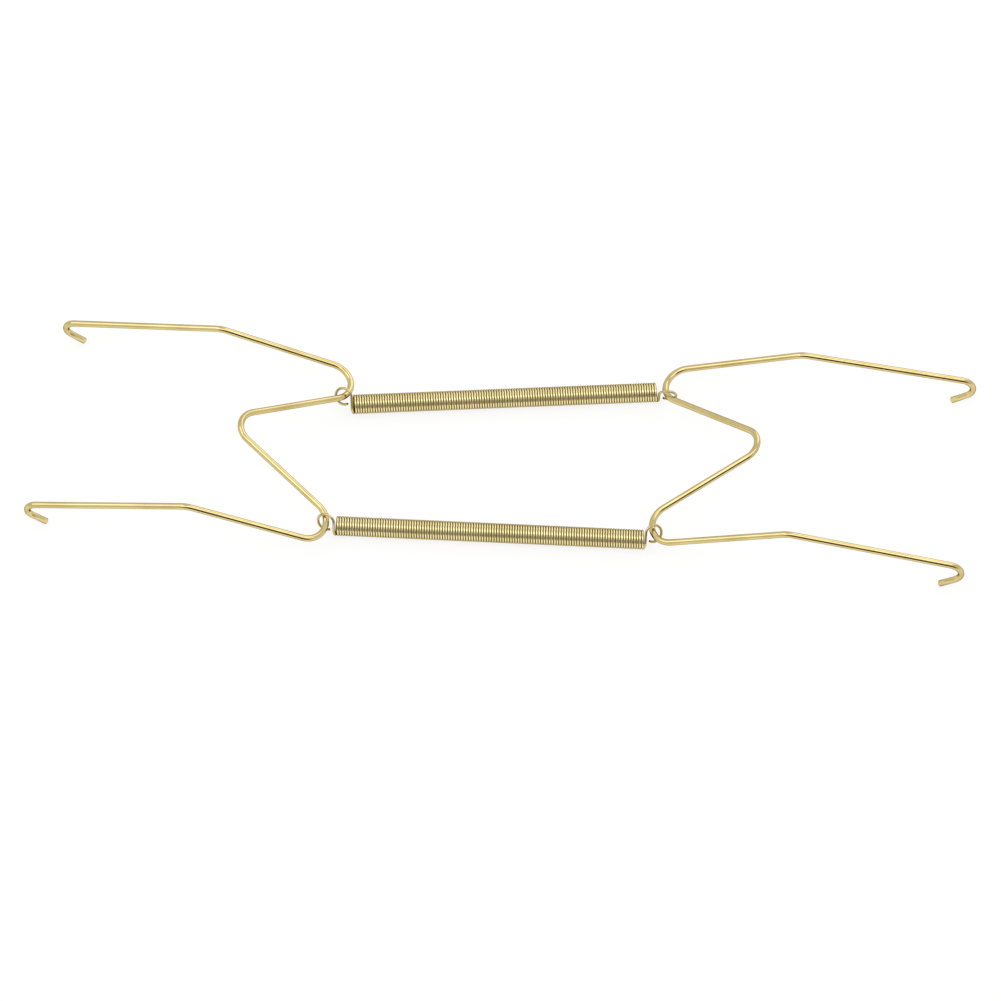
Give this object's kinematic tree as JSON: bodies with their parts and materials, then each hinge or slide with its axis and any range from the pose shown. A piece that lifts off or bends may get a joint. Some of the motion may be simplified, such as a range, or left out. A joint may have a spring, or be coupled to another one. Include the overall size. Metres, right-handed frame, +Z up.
{
  "type": "wire plate hanger",
  "caption": "Spring-loaded wire plate hanger: bent wire frames with claws that grip a plate's rim, joined by close-wound springs, with V bends that hang on a nail.",
  "frame": {"origin": "on the surface that the hanger lies on, under the middle of its box", "axes": "+X along the hanger from the left frame to the right one, +Y from the front spring to the rear one, +Z up"},
  "size_m": [0.2362, 0.0664, 0.0165],
  "materials": {
    "frame_wire": "bright brass plating on steel wire",
    "spring_wire": "bright brass plating on spring steel"
  },
  "bodies": {
    "rear_spring": {"rear_spring": "spring_wire"},
    "left_frame": {"left_frame": "frame_wire"},
    "front_spring": {"front_spring": "spring_wire"},
    "right_frame": {"right_frame": "frame_wire"}
  },
  "joints": [
    {"name": "left_frame_tilt", "type": "hinge", "parent": "rear_spring", "child": "left_frame", "pos_m": [-0.0425, -0.00742, 0.0051], "axis": [-0.0046, 0.9999, 0.0166], "range_deg": [-25, 95]},
    {"name": "spring_stretch", "type": "slide", "parent": "rear_spring", "child": "front_spring", "axis": [0.9949, 0.1004, 0], "range_m": [0, 0.06], "stiffness_N_per_m": 345, "deforming": ["rear_spring", "front_spring"]},
    {"name": "right_frame_tilt", "type": "hinge", "parent": "front_spring", "child": "right_frame", "pos_m": [0.03956, 0.00086, 0.0051], "axis": [0.0091, -0.9999, -0.0117], "range_deg": [-25, 95]}
  ]
}
